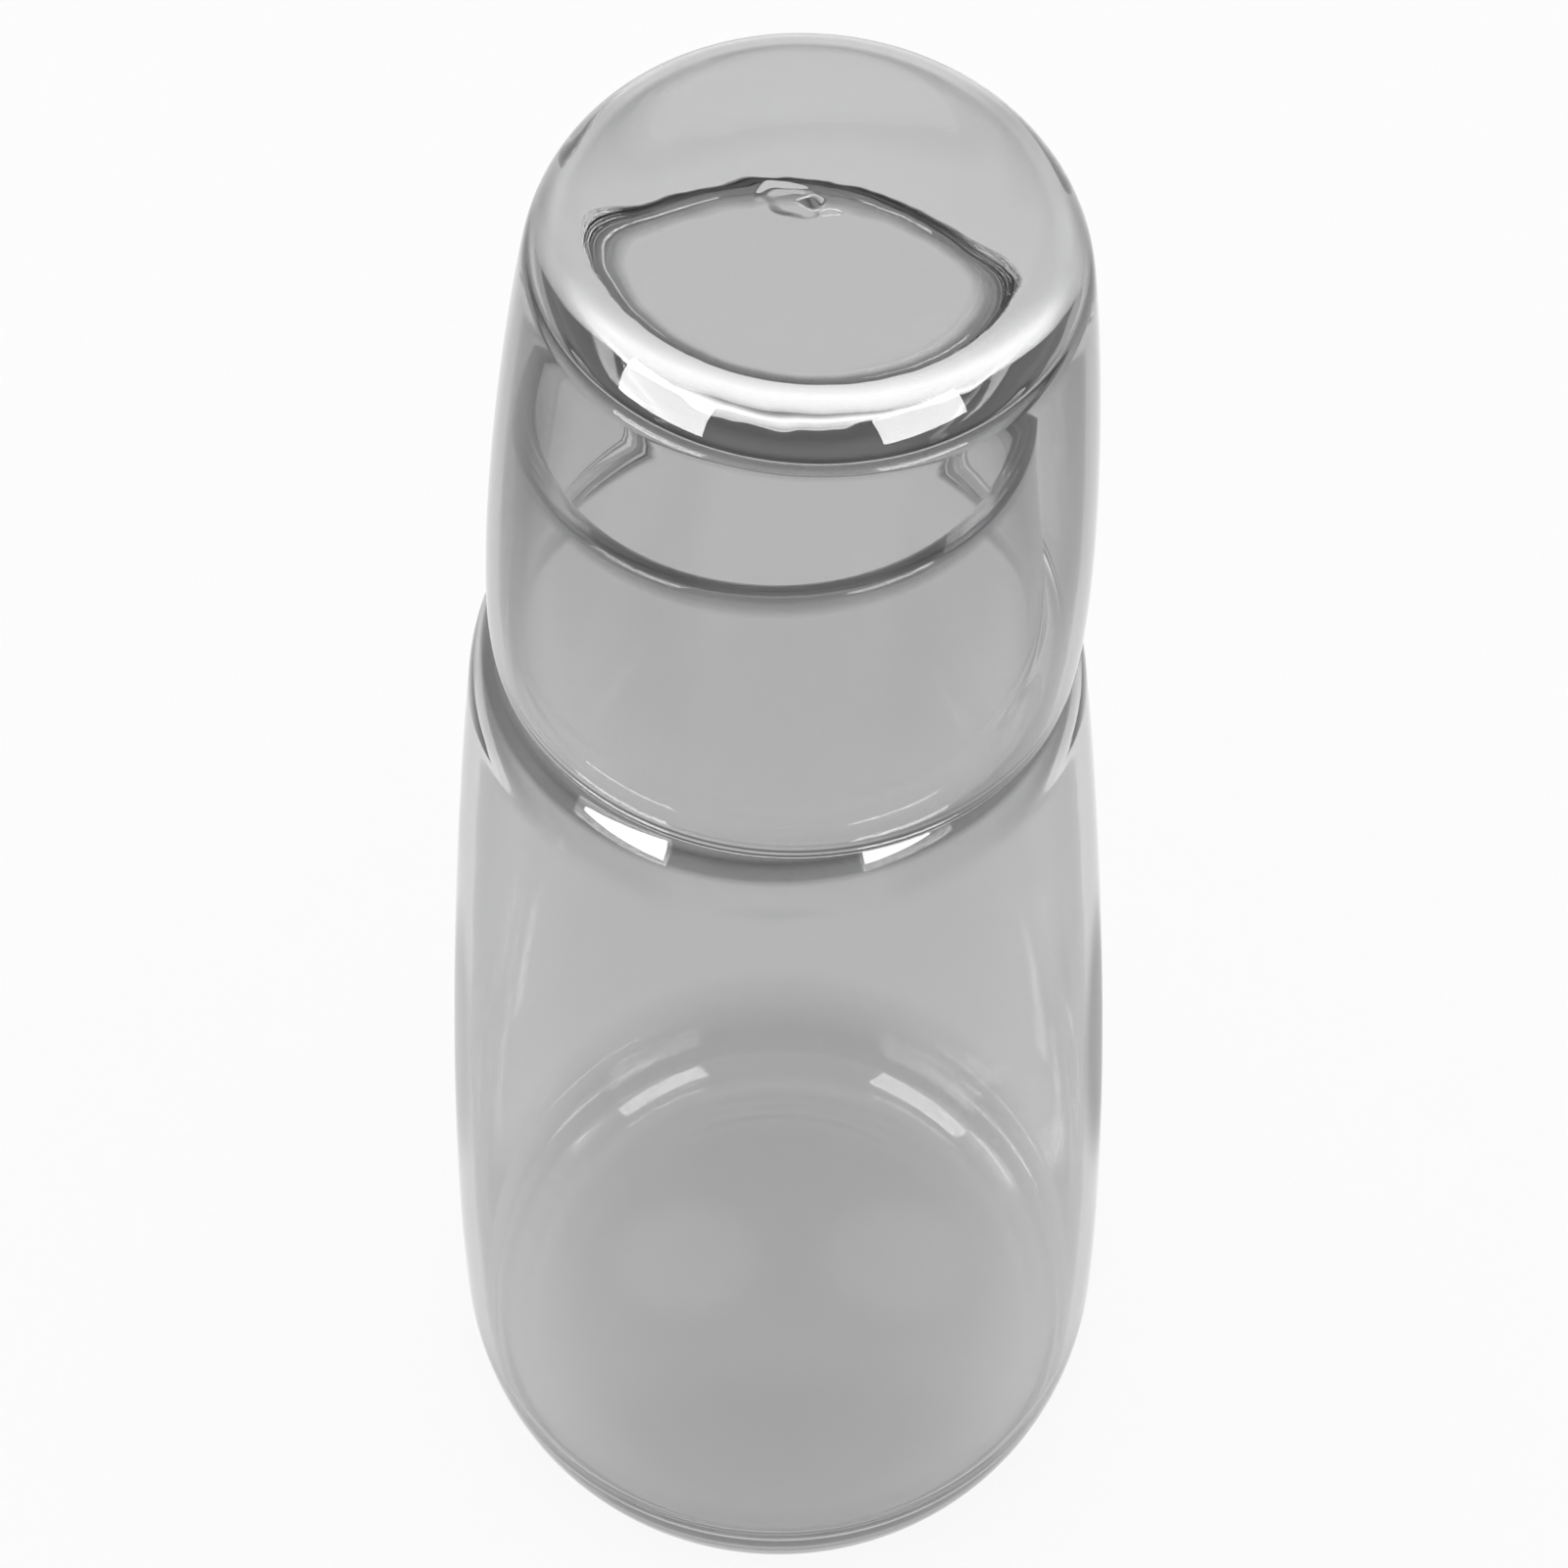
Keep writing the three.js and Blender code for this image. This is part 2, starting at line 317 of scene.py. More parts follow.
class Graph:
    """Adds nodes to one tree."""

    def __init__(self, tree):
        self.tree = tree
        for node in list(tree.nodes):
            tree.nodes.remove(node)

    def add(self, kind, settings=None, sockets=None, stops=None):
        """One node: its settings first, then a ramp's stops, then the values or links of its sockets."""
        node = self.tree.nodes.new(kind)
        node.location = (NODE_STEP * len(self.tree.nodes), 0)
        for name, value in (settings or {}).items():
            setattr(node, name, value)
        for i, (place, stop) in enumerate(stops or []):
            elements = node.color_ramp.elements
            element = elements[i] if i < len(elements) else elements.new(place)
            element.position = place
            element.color = stop
        for key, value in (sockets or {}).items():
            source = getattr(value, "socket", value)
            if isinstance(source, bpy.types.NodeSocket):
                self.tree.links.new(source, node.inputs[key])
            else:
                node.inputs[key].default_value = source
        return node

    def value(self, kind, settings=None, sockets=None, output=0, stops=None):
        return Value(self, self.add(kind, settings, sockets, stops).outputs[output])

    def smooth_step(self, source, low, high, start=0, end=1):
        """Runs smoothly from start to end while the source runs from low to high."""
        sockets = {"Value": source, "From Min": low, "From Max": high, "To Min": start, "To Max": end}
        return self.value("ShaderNodeMapRange", {"interpolation_type": "SMOOTHSTEP"}, sockets)

    def mix_colours(self, factor, low, high):
        """Low where the factor is zero, high where it is one. Each is three numbers or a node's colour."""
        low, high = ((*tone, 1) if isinstance(tone, tuple) else tone for tone in (low, high))
        sockets = {"Factor": factor, 6: low, 7: high}      # the node's sockets for colours, as output 2 is
        return self.value("ShaderNodeMix", {"data_type": "RGBA"}, sockets, output=2)

    def vector_maths(self, operation, *terms, output="Vector"):
        """Vector Math; a length or a dot product comes out as "Value"."""
        return self.value("ShaderNodeVectorMath", {"operation": operation}, dict(enumerate(terms)), output)

    def noise(self, place, scale, detail, seed=None, output=0):
        """Clouds from zero to one. A seed picks others."""
        settings, sockets = {}, {"Vector": place, "Scale": scale, "Detail": detail}
        if seed is not None:
            settings, sockets = {"noise_dimensions": "4D"}, {**sockets, "W": seed}
        return self.value("ShaderNodeTexNoise", settings, sockets, output)

    def parts(self, vector):
        """The three numbers of a vector."""
        split = self.add("ShaderNodeSeparateXYZ", sockets={"Vector": vector})
        return [Value(self, socket) for socket in split.outputs]

    def oval(self, across, forth, shape, core, inside=1.0, outside=0.0):
        """Runs from inside to outside between the level core of an oval and its edge."""
        at_across, at_forth, wide, deep = shape
        a = (across - at_across) / wide
        b = (forth - at_forth) / deep
        return self.smooth_step(a * a + b * b, core, 1.0, inside, outside)


def run(lean):
    """The way an outline goes through a station: sideways for each unit up."""
    return Vector((lean, 1)).normalized()


OUTWARDS = Vector((1, 0))
INWARDS = Vector((-1, 0))


class Station:
    """A place on an outline, the way through it, and how far the curves before and after keep to that way."""

    def __init__(self, radius, height, way, before, after):
        self.at = Vector((radius, height))
        self.way = way.normalized()
        self.before = before
        self.after = after

    def across(self, wall):
        """The same station on the other face of the glass, run through the other way."""
        inward = Vector((-self.way.y, self.way.x))
        at = self.at + wall * inward
        return Station(at.x, at.y, -self.way, self.after, self.before)


def arc(centre, radius, start, end):
    """Stations on a round lip, a quarter turn or less apart."""
    quarters = math.ceil((end - start) / (math.pi / 2) - COUNT_SLACK)
    step = (end - start) / quarters
    reach = 4 / 3 * math.tan(step / 4) * radius     # with this a Bezier curve follows a circle
    stations = []
    for i in range(quarters + 1):
        turn = start + i * step
        spoke = Vector((math.cos(turn), math.sin(turn)))
        at = centre + radius * spoke
        stations.append(Station(at.x, at.y, Vector((-spoke.y, spoke.x)), reach, reach))
    return stations


def outline_points(stretches):
    """The points of an outline that is given as stretches of stations; a straight line joins two stretches."""
    finish = bpy.context.scene.glass_finish
    points = []
    for stations in stretches:
        points.append(stations[0].at.copy())
        for last, following in zip(stations, stations[1:]):
            leave = last.at + last.after * last.way
            arrive = following.at - following.before * following.way
            steps = max(finish.least_steps, math.ceil((following.at - last.at).length / finish.outline_step))
            points += [p.xy for p in interpolate_bezier(
                last.at.to_3d(), leave.to_3d(), arrive.to_3d(), following.at.to_3d(), steps + 1)][1:]
    kept = points[:1]
    for point in points[1:]:
        gap = (point - kept[-1]).length
        if gap < SAME_POINT:
            continue
        pieces = math.ceil(gap / finish.outline_step - COUNT_SLACK)
        start = kept[-1]
        kept += [start.lerp(point, i / pieces) for i in range(1, pieces + 1)]
    return kept


def carafe_outline(sizes, shares):
    """From the axis under the foot, up the outside, round the lip, down the inside and along the floor."""
    floor_height = sizes.punt_depth + sizes.floor_thickness
    ledge_height = sizes.shoulder_height + sizes.ledge_rise
    neck_root_height = ledge_height + sizes.neck_root_rise
    lip_height = neck_root_height + sizes.neck_height - sizes.lip_wall / 2
    body_rise = sizes.shoulder_height - sizes.widest_height
    neck_rise = lip_height - neck_root_height
    bearing_inside = sizes.foot_radius - sizes.bearing_width
    floor_radius = sizes.body_radius - sizes.body_wall - sizes.inside_heel_run
    heel = Station(sizes.foot_radius, 0, OUTWARDS, 0, shares.round * (sizes.body_radius - sizes.foot_radius))
    widest = Station(
        sizes.body_radius, sizes.widest_height, run(0),
        shares.round * sizes.widest_height, shares.body_low * body_rise,
    )
    shoulder = Station(
        sizes.shoulder_radius, sizes.shoulder_height, run(shares.body_lean),
        shares.body_high * body_rise, shares.shoulder_bend * sizes.ledge_rise,
    )
    ledge = Station(
        sizes.ledge_radius, ledge_height, run(shares.ledge_lean),
        shares.ledge_bend * sizes.ledge_rise, shares.ledge_bend * sizes.neck_root_rise,
    )
    neck_root = Station(
        sizes.neck_root_radius, neck_root_height, run(shares.neck_root_lean),
        shares.neck_root_bend * sizes.neck_root_rise, shares.neck_bend * neck_rise,
    )
    lip = Station(sizes.mouth_radius, lip_height, run(0), shares.neck_bend * neck_rise, 0)
    inside_heel = widest.across(sizes.body_wall)
    inside_heel.after = shares.round * (sizes.widest_height - floor_height)
    lip_centre = Vector((sizes.mouth_radius - sizes.lip_wall / 2, lip_height))
    return outline_points([
        [
            Station(0, sizes.punt_depth, OUTWARDS, 0, shares.punt_bend * bearing_inside),
            Station(bearing_inside, 0, Vector((sizes.bearing_width, -sizes.punt_depth)), sizes.bearing_width, 0),
        ],
        [heel, widest, shoulder, ledge, neck_root, lip],
        arc(lip_centre, sizes.lip_wall / 2, 0, math.pi),
        [
            lip.across(sizes.lip_wall),
            neck_root.across(sizes.neck_wall),
            ledge.across(sizes.shoulder_wall),
            shoulder.across(sizes.body_wall),
            inside_heel,
            Station(floor_radius, floor_height, INWARDS, shares.round * sizes.inside_heel_run, 0),
        ],
        [Station(0, floor_height, INWARDS, 0, 0)],
    ])


def tumbler_outline(sizes, shares):
    """Mouth down: from the axis along the ceiling, down the inside, round the rim and up the outside to the axis."""
    lip_radius = sizes.wall / 2
    lip_centre = Vector((sizes.rim_radius - lip_radius, lip_radius))
    rim_way = run(shares.rim_spread)
    rim_edge = lip_centre + lip_radius * Vector((rim_way.y, -rim_way.x))
    corner_height = sizes.height - sizes.corner_rise
    side_rise = corner_height - rim_edge.y
    rim = Station(rim_edge.x, rim_edge.y, rim_way, 0, shares.flank_low * side_rise)
    corner = Station(
        sizes.corner_radius, corner_height, run(shares.corner_lean),
        shares.flank_high * side_rise, shares.corner_low * sizes.corner_rise,
    )
    ceiling = sizes.height - sizes.base_thickness
    inside_corner = corner.across(sizes.wall)
    inside_corner.before = shares.round * (ceiling - inside_corner.at.y)
    ceiling_radius = inside_corner.at.x - sizes.inside_corner_run
    recess_radius = sizes.foot_radius - sizes.bearing_width
    rim_turn = math.atan2(rim_way.x, rim_way.y)
    ceiling_bend = shares.punt_bend * ceiling_radius
    return outline_points([
        [
            Station(0, ceiling + sizes.ceiling_rise, OUTWARDS, 0, ceiling_bend),
            Station(ceiling_radius, ceiling, OUTWARDS, ceiling_bend, shares.round * sizes.inside_corner_run),
            inside_corner,
            rim.across(sizes.wall),
        ],
        arc(lip_centre, lip_radius, math.pi - rim_turn, 2 * math.pi - rim_turn),
        [
            rim,
            corner,
            Station(
                sizes.foot_radius, sizes.height, INWARDS,
                shares.corner_high * (sizes.corner_radius - sizes.foot_radius), 0,
            ),
        ],
        [
            Station(
                recess_radius, sizes.height, Vector((-sizes.bearing_width, -sizes.recess_depth)),
                0, sizes.bearing_width,
            ),
            Station(0, sizes.height - sizes.recess_depth, INWARDS, shares.punt_bend * recess_radius, 0),
        ],
    ])


def outline_curve(name, points):
    """The outline as a curve in the XZ plane, which the turning tree takes."""
    data = bpy.data.curves.new(name, "CURVE")
    data.dimensions = "3D"
    spline = data.splines.new("POLY")
    spline.points.add(len(points) - 1)
    for point, at in zip(spline.points, points):
        point.co = (at.x, 0, at.y, 1)
    made = bpy.data.objects.new(name, data)
    bpy.context.scene.collection.objects.link(made)
    return made


def tree_with_inputs(name, wanted):
    """A geometry node tree whose named inputs are given as (name, kind, default)."""
    tree = bpy.data.node_groups.new(name, "GeometryNodeTree")
    tree.interface.new_socket("Geometry", in_out="INPUT", socket_type="NodeSocketGeometry")
    tree.interface.new_socket("Geometry", in_out="OUTPUT", socket_type="NodeSocketGeometry")
    for label, kind, default in wanted:
        socket = tree.interface.new_socket(label, in_out="INPUT", socket_type="NodeSocket" + kind)
        if default is not None:
            socket.default_value = default
    graph = Graph(tree)
    entry = graph.add("NodeGroupInput")
    return tree, graph, {socket.name: Value(graph, socket) for socket in entry.outputs if socket.name}


def close_tree(graph, geometry, glass):
    """Every tree ends by making its result real and giving it its material."""
    real = graph.value("GeometryNodeRealizeInstances", sockets={"Geometry": geometry})
    dressed = graph.value("GeometryNodeSetMaterial", sockets={"Geometry": real, "Material": glass})
    graph.add("NodeGroupOutput", sockets={0: dressed})


def turning_tree():
    """Turns an outline about the upright axis, welds its seam and poles, and ripples part of the surface."""
    tree, graph, given = tree_with_inputs("Turned glass", [
        ("Turn Steps", "Int", 180),
        ("Weld", "Float", MILLIMETRE / 1000),
        ("Ripple Depth", "Float", 0.0),
        ("Ripple Size", "Float", 0.007),
        ("Ripple Low", "Float", 0.0),
        ("Ripple High", "Float", 0.01),
        ("Ripple Reach", "Float", 0.02),
        ("Seed", "Float", 1.0),
        ("Material", "Material", None),
    ])
    outline = graph.value("GeometryNodeCurveToMesh", sockets={"Curve": given["Geometry"]})
    count = graph.value("GeometryNodeAttributeDomainSize", sockets={"Geometry": outline})
    sheet = graph.value("GeometryNodeMeshGrid", sockets={
        "Vertices X": given["Turn Steps"] + 1, "Vertices Y": count,
    })
    index = graph.value("GeometryNodeInputIndex")
    along = index.maths("MODULO", index, count)
    turn = index.maths("FLOOR", index / count) / given["Turn Steps"] * (2 * math.pi)
    place = graph.value("GeometryNodeInputPosition")
    on_outline = graph.value("GeometryNodeSampleIndex", {"data_type": "FLOAT_VECTOR", "domain": "POINT"}, {
        "Geometry": outline, "Value": place, "Index": along,
    })
    turned = graph.value("ShaderNodeVectorRotate", {"rotation_type": "Z_AXIS"}, {
        "Vector": on_outline, "Angle": turn,
    })
    sheet = graph.value("GeometryNodeSetPosition", sockets={"Geometry": sheet, "Position": turned})
    welded = graph.value("GeometryNodeMergeByDistance", sockets={"Geometry": sheet, "Distance": given["Weld"]})
    height = graph.parts(place)[2]
    flat = graph.vector_maths("MULTIPLY", place, (1, 1, 0))
    radius = graph.vector_maths("LENGTH", flat, output="Value")
    inside = graph.value("FunctionNodeCompare", {"operation": "GREATER_THAN"}, {0: height, 1: given["Ripple Low"]})
    below = graph.value("FunctionNodeCompare", {"operation": "LESS_THAN"}, {0: height, 1: given["Ripple High"]})
    reach = graph.smooth_step(radius, 0.0, given["Ripple Reach"], 1.0, 0.0)
    noise = graph.noise(place, 1 / given["Ripple Size"], RIPPLE_DETAIL, given["Seed"])
    lift = (noise - 0.5) * given["Ripple Depth"] * 2 * reach * inside * below    # as far down as up
    normal = graph.value("GeometryNodeInputNormal")
    offset = graph.value("ShaderNodeVectorMath", {"operation": "SCALE"}, {0: normal, "Scale": lift})
    rippled = graph.value("GeometryNodeSetPosition", sockets={"Geometry": welded, "Offset": offset})
    smooth = graph.value("GeometryNodeSetShadeSmooth", sockets={"Geometry": rippled})
    close_tree(graph, smooth, given["Material"])
    return tree


def add_tree(made, tree, values):
    """Puts a tree on an object, with its inputs set by the sockets' identifiers."""
    modifier = made.modifiers.new(tree.name, "NODES")
    modifier.node_group = tree
    for item in tree.interface.items_tree:
        if item.in_out == "INPUT" and item.name in values:
            modifier[item.identifier] = values[item.name]


def plain_mesh(source, name, placing):
    """The evaluated result as a plain mesh, in place, with its faces pointing out. The source goes."""
    depsgraph = bpy.context.evaluated_depsgraph_get()
    mesh = bpy.data.meshes.new_from_object(source.evaluated_get(depsgraph), depsgraph=depsgraph)
    mesh.name = name
    bpy.data.objects.remove(source)
    work = bmesh.new()
    work.from_mesh(mesh)
    bmesh.ops.recalc_face_normals(work, faces=work.faces)
    open_edges = [edge for edge in work.edges if not edge.is_manifold]
    if open_edges:
        raise RuntimeError(f"{name} has {len(open_edges)} edges that don't close")
    work.to_mesh(mesh)
    work.free()
    mesh.transform(placing)
    made = bpy.data.objects.new(name, mesh)
    bpy.context.scene.collection.objects.link(made)
    return made


def turned_glass(name, points, glass, ripple, placing):
    """A turned piece of glass, made by the trees and placed."""
    finish = bpy.context.scene.glass_finish
    source = outline_curve(name + "_outline", points)
    values = {"Turn Steps": finish.turn_steps, "Ripple Depth": finish.ripple_depth,
              "Ripple Size": finish.ripple_size, "Material": glass, **ripple}
    add_tree(source, turning_tree(), values)
    return plain_mesh(source, name, placing)


def carry(piece, body, node):
    """The piece moves with its body and stands for the CAD solid, which is hidden."""
    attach(piece, body)
    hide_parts(node)


def shear_scar(graph, place, middle, size):
    """The crooked scar where the gob of glass was cut: how deep it is pressed in, and where its dark spot is."""
    bend = SCAR_BEND * size
    swirl = graph.noise(place, *SWIRL, output="Color")
    bent = graph.vector_maths("MULTIPLY_ADD", swirl, (bend,) * 3, tuple(-middle - Vector((bend / 2,) * 3)))
    local = graph.vector_maths("ADD", place, bent)
    across, forth, up = (part / size for part in graph.parts(local))
    ring = graph.oval(across, forth, SCAR_RING, SCAR_CORE) - graph.oval(across, forth, SCAR_RING_HOLE, SCAR_CORE)
    spot = graph.oval(across, forth, SCAR_SPOT, SCAR_CORE)
    chip = graph.oval(across, forth, SCAR_CHIP, SCAR_CORE)
    on_top = graph.smooth_step(up, *SCAR_TOP)
    return (ring * RING_DEPTH + spot + chip * CHIP_DEPTH) * on_top, spot * on_top


def smoke_glass(name, zones, edge_start, axis=(0, 0, 1), core=None, scar=None):
    """Smoke grey glass whose tint changes along its axis and darkens from edge_start on, towards edge on.

    Zones are (low, high, tint), from the lowest up; between two zones the one tint runs into the other.
    A core is (a point on the axis, radius, tint): nearer to the axis than that, the glass has this one tint.
    A scar is the place of its middle.
    """
    finish = bpy.context.scene.glass_finish
    material = bpy.data.materials.new(name)
    material.use_nodes = True
    graph = Graph(material.node_tree)
    place = graph.value("ShaderNodeTexCoord", output="Object")
    height = graph.vector_maths("DOT_PRODUCT", place, tuple(axis), output="Value")
    clouds = graph.noise(place, *CLOUDS)
    bottom, top = zones[0][0], zones[-1][1]
    along = (height - bottom) / (top - bottom)
    stops = [
        ((at - bottom) / (top - bottom), (*tint, 1)) for low, high, tint in zones for at in sorted({low, high})
    ]
    plain = graph.value("ShaderNodeValToRGB", sockets={"Fac": along}, stops=stops)
    if core:
        on_axis, radius, core_tint = core
        spoke = graph.vector_maths("SUBTRACT", place, tuple(on_axis))
        square = graph.vector_maths("CROSS_PRODUCT", spoke, tuple(axis))
        away = graph.vector_maths("LENGTH", square, output="Value")
        inner = graph.smooth_step(away, radius, radius + 2 * SKIN, 1, 0)
        plain = graph.mix_colours(inner, plain, core_tint)
    edge_on = graph.value("ShaderNodeLayerWeight", output="Facing")
    kept = graph.smooth_step(edge_on, edge_start, finish.edge_end, 1.0, finish.edge_tint)
    kept = kept * (1 - CLOUD_SHARE / 2 + CLOUD_SHARE * clouds)
    if scar:
        depth, spot = shear_scar(graph, place, scar, finish.mark_size)
        kept = kept * (1 - SPOT_SHADE * spot)
    tint = graph.mix_colours(kept, (0.0, 0.0, 0.0), plain)
    roughness = graph.smooth_step(graph.noise(place, *SMEARS), *SMEARED, 0.0, SMEAR_ROUGHNESS)
    normal = graph.value("ShaderNodeBump", sockets={
        "Strength": WAVE_STRENGTH, "Distance": WAVE_DEPTH, "Height": graph.noise(place, *WAVES),
    })
    if scar:
        normal = graph.value("ShaderNodeBump", sockets={
            "Strength": 1.0, "Distance": finish.mark_depth, "Height": 0 - depth, "Normal": normal,
        })
    glass = graph.value("ShaderNodeBsdfPrincipled", sockets={
        "Base Color": tint, "Roughness": roughness, "Normal": normal,
        "Transmission Weight": 1.0, "IOR": finish.refraction,
    })
    inside = graph.value("ShaderNodeVolumeAbsorption", sockets={
        "Color": (0.0, 0.0, 0.0, 1), "Density": finish.depth_tint,
    })
    graph.add("ShaderNodeOutputMaterial", sockets={"Surface": glass, "Volume": inside})
    return material


def tumbler_seat(sizes):
    """Where the upturned tumbler stands: the frame gives a point on its bearing ring, and the way that faces."""
    foot = next(mount for mount in frame["record"]["mounts"] if mount["name"] == "tumbler_foot")
    axis = Vector(foot["axis"])
    turn = Matrix.Rotation(math.atan2(axis.x, axis.z), 4, "Y")
    on_ring = Vector((sizes.foot_radius - sizes.bearing_width / 2, 0, sizes.height))
    return Matrix.Translation(Vector(foot["pos_m"]) - turn @ on_ring) @ turn


class CARAFE_OT_body(bpy.types.Operator):
    """Turn the glass of the carafe"""

    bl_idname = "carafe.body"
    bl_label = "Carafe"

    def execute(self, context):
        scene = context.scene
        sizes, finish = scene.carafe_sizes, scene.glass_finish
        floor_top = sizes.punt_depth + sizes.floor_thickness
        heel_end, body_start = (part * sizes.widest_height for part in HEEL_FADES)
        ledge = sizes.shoulder_height + sizes.ledge_rise
        ledge_underside = ledge - sizes.shoulder_wall
        lip = ledge + sizes.neck_root_rise + sizes.neck_height
        neck_end, lip_start = (lip - walls * sizes.lip_wall for walls in LIP_DARKENS)
        glass = smoke_glass("carafe_smoke_glass", [
            (0, SKIN, finish.bearing_tint),
            (2 * SKIN, floor_top + SKIN, finish.floor_tint),
            (floor_top + 4 * SKIN, heel_end, finish.heel_tint),
            (body_start, ledge_underside - SKIN, finish.body_tint),
            # Painted shade with the thicker glass: the dark band on the ledge under the tumbler's rim.
            (ledge_underside + SKIN, ledge, finish.ledge_tint_and_shade),
            (ledge + SKIN, ledge + SKIN, finish.body_tint),
            (ledge + sizes.neck_root_rise / 2, neck_end, finish.neck_tint),
            (lip_start, lip, finish.lip_tint),
        ], finish.carafe_edge)
        ripple = {"Ripple Low": -MILLIMETRE, "Ripple High": floor_top + MILLIMETRE,
                  "Ripple Reach": sizes.foot_radius - sizes.bearing_width, "Seed": 7.0}
        points = carafe_outline(sizes, scene.curve_shares)
        piece = turned_glass("carafe_glass", points, glass, ripple, Matrix.Identity(4))
        carry(piece, "carafe", "carafe")
        return {"FINISHED"}


class CARAFE_OT_tumbler(bpy.types.Operator):
    """Turn the glass of the tumbler and stand it over the neck"""

    bl_idname = "carafe.tumbler"
    bl_label = "Tumbler"

    def execute(self, context):
        scene = context.scene
        sizes, finish = scene.tumbler_sizes, scene.glass_finish
        ceiling = sizes.height - sizes.base_thickness
        seat = tumbler_seat(sizes)
        axis = seat.col[2].xyz
        rim = seat.translation.dot(axis)
        line = [rim + walls * sizes.wall for walls in RIM_LINE]
        shade = [rim + ceiling + skins * SKIN for skins in CORNER_SHADE]
        core_radius = sizes.corner_radius - sizes.wall - sizes.inside_corner_run
        core = (seat.translation, core_radius, tuple(finish.base_tint))
        scar = seat @ Vector((*SCAR_PLACE, sizes.height))
        glass = smoke_glass("tumbler_smoke_glass", [
            (rim, line[0], finish.base_tint),
            # Painted shade: the dark contact line round the rim.
            (line[1], line[2], finish.rim_shade_tint),
            (line[3], shade[0], finish.tumbler_tint),
            # Painted shade: the dark band just over the ceiling.
            (shade[1], shade[2], finish.corner_shade_tint),
            (shade[3], rim + sizes.height, finish.base_tint),
        ], finish.tumbler_edge, axis, core, scar)
        ripple = {"Ripple Low": ceiling - MILLIMETRE, "Ripple High": sizes.height + MILLIMETRE,
                  "Ripple Reach": 2 * sizes.corner_radius, "Seed": 2.0}
        points = tumbler_outline(sizes, scene.curve_shares)
        piece = turned_glass("tumbler_glass", points, glass, ripple, seat)
        carry(piece, "tumbler", "tumbler")
        return {"FINISHED"}


def kinds_of_ray(graph):
    """One for rays from the camera, and one for rays from a mirroring surface or through glass, else zero."""
    path = graph.add("ShaderNodeLightPath")
    camera, glossy, through = (
        Value(graph, path.outputs[name]) for name in ("Is Camera Ray", "Is Glossy Ray", "Is Transmission Ray")
    )
    return camera, glossy.greatest(through)


def distance(across, forth):
    """How far from the upright axis."""
    return (across * across + forth * forth).power(0.5)


def surroundings(graph, across, forth, deep, settings):
    """What glass shows far off: white in front, brighter straight behind from deep on, a little darker at the sides."""
    aside = across.maths("ABSOLUTE", across) / distance(across, forth)
    behind = graph.smooth_step(aside, *BACKDROP_ASIDE, settings.backdrop_level, 1.0)
    paper = graph.smooth_step(forth, deep, 2 * deep, 1.0, behind)
    return graph.smooth_step(aside, *SIDES_ASIDE, paper, settings.side_level)


def floor_material(settings):
    """White paper: plain white to the camera, shaded as glass shows it, with a soft share of the real light."""
    material = bpy.data.materials.new("white_paper")
    material.use_nodes = True
    graph = Graph(material.node_tree)
    across, forth = graph.parts(graph.value("ShaderNodeTexCoord", output="Object"))[:2]
    camera, in_glass = kinds_of_ray(graph)
    away = distance(across, forth)
    far = graph.smooth_step(away, *NEAR_PAPER)
    lit = 1 + far * (surroundings(graph, across, forth, NEAR_PAPER[1], settings) - 1)
    shades = (      # each oval's place, half width and half depth in metres, and how dark it is
        ((-0.07, 0.046, 0.026, 0.03), settings.left_shade),
        ((0.07, 0.046, 0.026, 0.03), settings.right_shade),
        ((-0.2, 0.11, 0.08, 0.065), settings.side_shade),
        ((0.2, 0.11, 0.08, 0.065), settings.side_shade),
        ((0.0, -0.03, 0.05, 0.024), settings.foot_shade),
        ((-0.014, 0.008, 0.014, 0.012), -settings.foot_glow),
        ((0.018, 0.008, 0.014, 0.012), -settings.foot_glow),
    )
    for shape, depth in shades:
        lit = lit * graph.oval(across, forth, shape, SHADE_CORE, 1 - depth, 1.0)
    foot = bpy.context.scene.carafe_sizes.foot_radius
    lit = lit * graph.smooth_step(away, foot - MILLIMETRE, foot + 2 * MILLIMETRE, 1 - settings.foot_shade, 1.0)
    shown = 1 + in_glass * (lit - 1)
    paper = graph.value("ShaderNodeBsdfDiffuse", sockets={"Color": (*settings.paper_colour, 1)})
    white = graph.value("ShaderNodeEmission", sockets={"Color": shown, "Strength": 1.0})
    factor = camera.greatest(in_glass) * settings.white_share
    mixed = graph.value("ShaderNodeMixShader", sockets={0: factor, 1: paper, 2: white})
    graph.add("ShaderNodeOutputMaterial", sockets={"Surface": mixed})
    return material


def room_light(settings):
    """A soft even room. Glass shows it as the far paper is down low, and dark up high."""
    world = bpy.data.worlds.new("soft_room")
    bpy.context.scene.world = world
    world.use_nodes = True
    graph = Graph(world.node_tree)
    across, forth, up = graph.parts(graph.value("ShaderNodeTexCoord", output="Generated"))
    low = surroundings(graph, across, forth, ROOM_REAR, settings)
    mirrored = graph.smooth_step(up, *CEILING_RISE, low, settings.ceiling_level)
    camera, in_glass = kinds_of_ray(graph)
    strength = camera + in_glass * mirrored + (1 - camera.greatest(in_glass)) * settings.room_level
    light = graph.value("ShaderNodeBackground", sockets={"Color": strength, "Strength": 1.0})
    graph.add("ShaderNodeOutputWorld", sockets={"Surface": light})


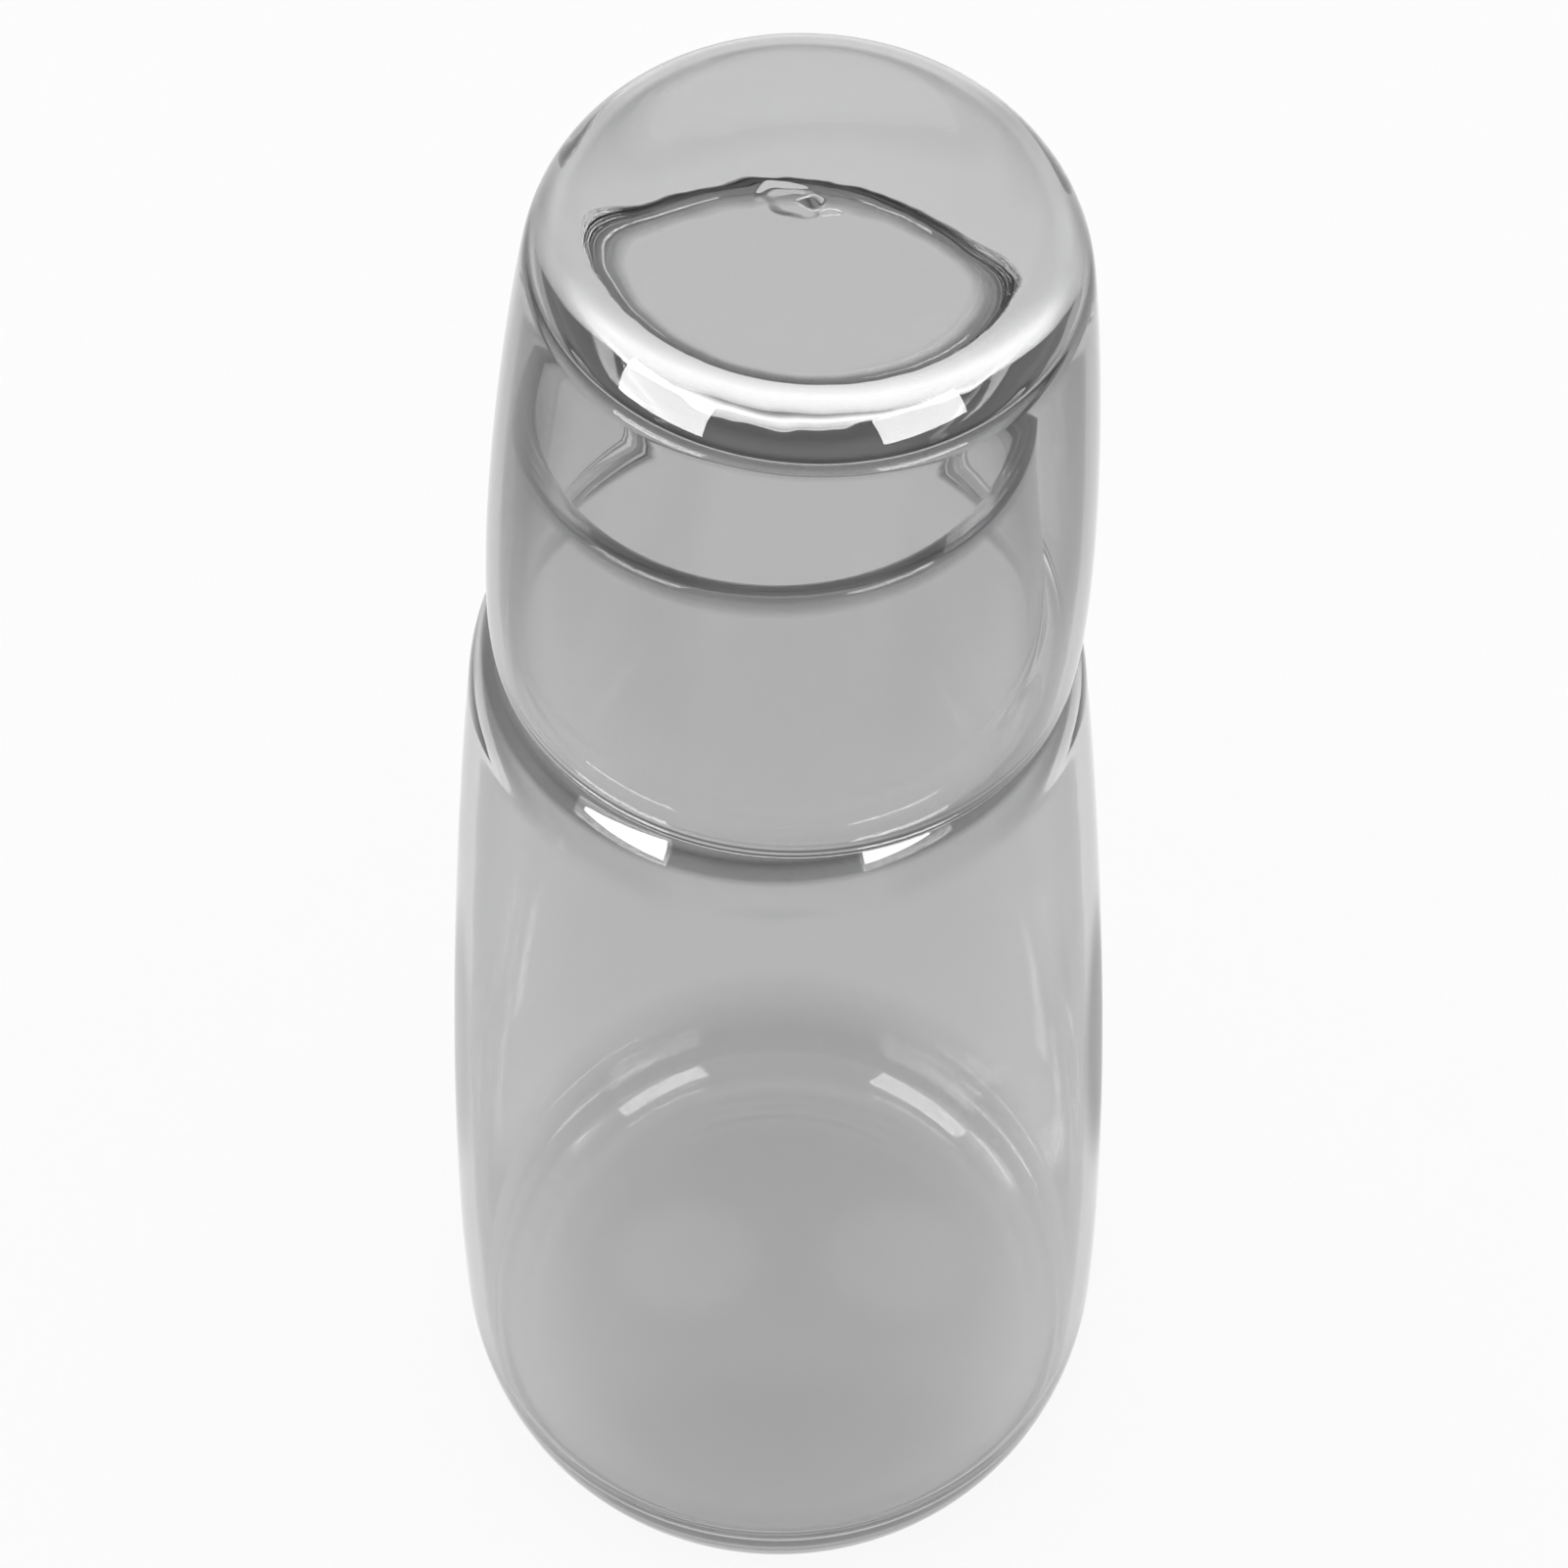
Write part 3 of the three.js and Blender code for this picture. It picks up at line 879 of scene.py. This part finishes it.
def softbox(name, turn, wide, high, settings):
    """A softbox that shows in gloss and glass; the room lights plain surfaces."""
    data = bpy.data.lights.new(name, "AREA")
    data.shape = "RECTANGLE"
    data.size = wide
    data.size_y = high
    data.energy = settings.softbox_level * math.pi * wide * high     # a larger box is no brighter to look at
    made = bpy.data.objects.new(name, data)
    flat = math.cos(settings.softbox_rise)
    way = Vector((flat * math.sin(turn), -flat * math.cos(turn), math.sin(settings.softbox_rise)))
    made.location = Vector((0, 0, CAD_HIGH.z)) + settings.softbox_away * way
    made.rotation_euler = way.to_track_quat("Z", "Y").to_euler()
    made.visible_camera = False
    made.visible_diffuse = False
    bpy.context.scene.collection.objects.link(made)


def studio_camera(settings):
    """The camera, at the photo's viewing angle."""
    data = bpy.data.cameras.new("camera")
    data.lens = settings.camera_lens
    data.sensor_width = settings.camera_sensor
    data.clip_start, data.clip_end = CAMERA_REACH
    made = bpy.data.objects.new("camera", data)
    made.location = (0, -settings.camera_back, settings.camera_height)
    made.rotation_euler = (math.pi / 2 - settings.camera_pitch, 0, -settings.camera_yaw)
    bpy.context.scene.collection.objects.link(made)
    bpy.context.scene.camera = made


class CARAFE_OT_stage(bpy.types.Operator):
    """Set the floor, the room, the softboxes and the camera"""

    bl_idname = "carafe.stage"
    bl_label = "Stage"

    def execute(self, context):
        settings = context.scene.stage_settings
        mesh = bpy.data.meshes.new("floor")
        half = settings.floor_size / 2
        corners = ((-half, -half), (half, -half), (half, half), (-half, half))
        mesh.from_pydata([(x, y, -PAPER_DROP) for x, y in corners], [], [(0, 1, 2, 3)])
        floor = bpy.data.objects.new("floor", mesh)
        mesh.materials.append(floor_material(settings))
        context.scene.collection.objects.link(floor)
        room_light(settings)
        softbox("left_softbox", -settings.left_turn, settings.left_wide, settings.left_high, settings)
        softbox("right_softbox", settings.right_turn, settings.right_wide, settings.right_high, settings)
        studio_camera(settings)
        light = context.scene.cycles
        light.max_bounces = light.transmission_bounces = light.glossy_bounces = settings.light_turns
        context.scene.view_settings.view_transform = "Standard"
        return {"FINISHED"}


class CARAFE_PT_panel(bpy.types.Panel):
    """The steps and sizes in the sidebar"""

    bl_label = "Carafe with tumbler"
    bl_idname = "CARAFE_PT_panel"
    bl_space_type = "VIEW_3D"
    bl_region_type = "UI"
    bl_category = "Carafe"

    def draw(self, context):
        for operator in OPERATORS:
            self.layout.operator(operator.bl_idname)
        for name in SETTINGS:
            box = self.layout.box()
            box.label(text=name.replace("_", " ").capitalize())
            group = getattr(context.scene, name)
            for field in group.__annotations__:
                box.prop(group, field)


OPERATORS = (CARAFE_OT_body, CARAFE_OT_tumbler, CARAFE_OT_stage)
SETTINGS = {
    "carafe_sizes": CarafeSizes,
    "tumbler_sizes": TumblerSizes,
    "curve_shares": CurveShares,
    "glass_finish": GlassFinish,
    "stage_settings": StageSettings,
}


def register():
    for made in (*SETTINGS.values(), *OPERATORS, CARAFE_PT_panel):
        bpy.utils.register_class(made)
    for name, group in SETTINGS.items():
        setattr(bpy.types.Scene, name, PointerProperty(type=group))


def unregister():
    for name in SETTINGS:
        delattr(bpy.types.Scene, name)
    for made in (CARAFE_PT_panel, *reversed(OPERATORS), *reversed(SETTINGS.values())):
        bpy.utils.unregister_class(made)


def main():
    register()
    bpy.ops.carafe.body()
    bpy.ops.carafe.tumbler()
    bpy.ops.carafe.stage()


if __name__ == "__main__":
    main()
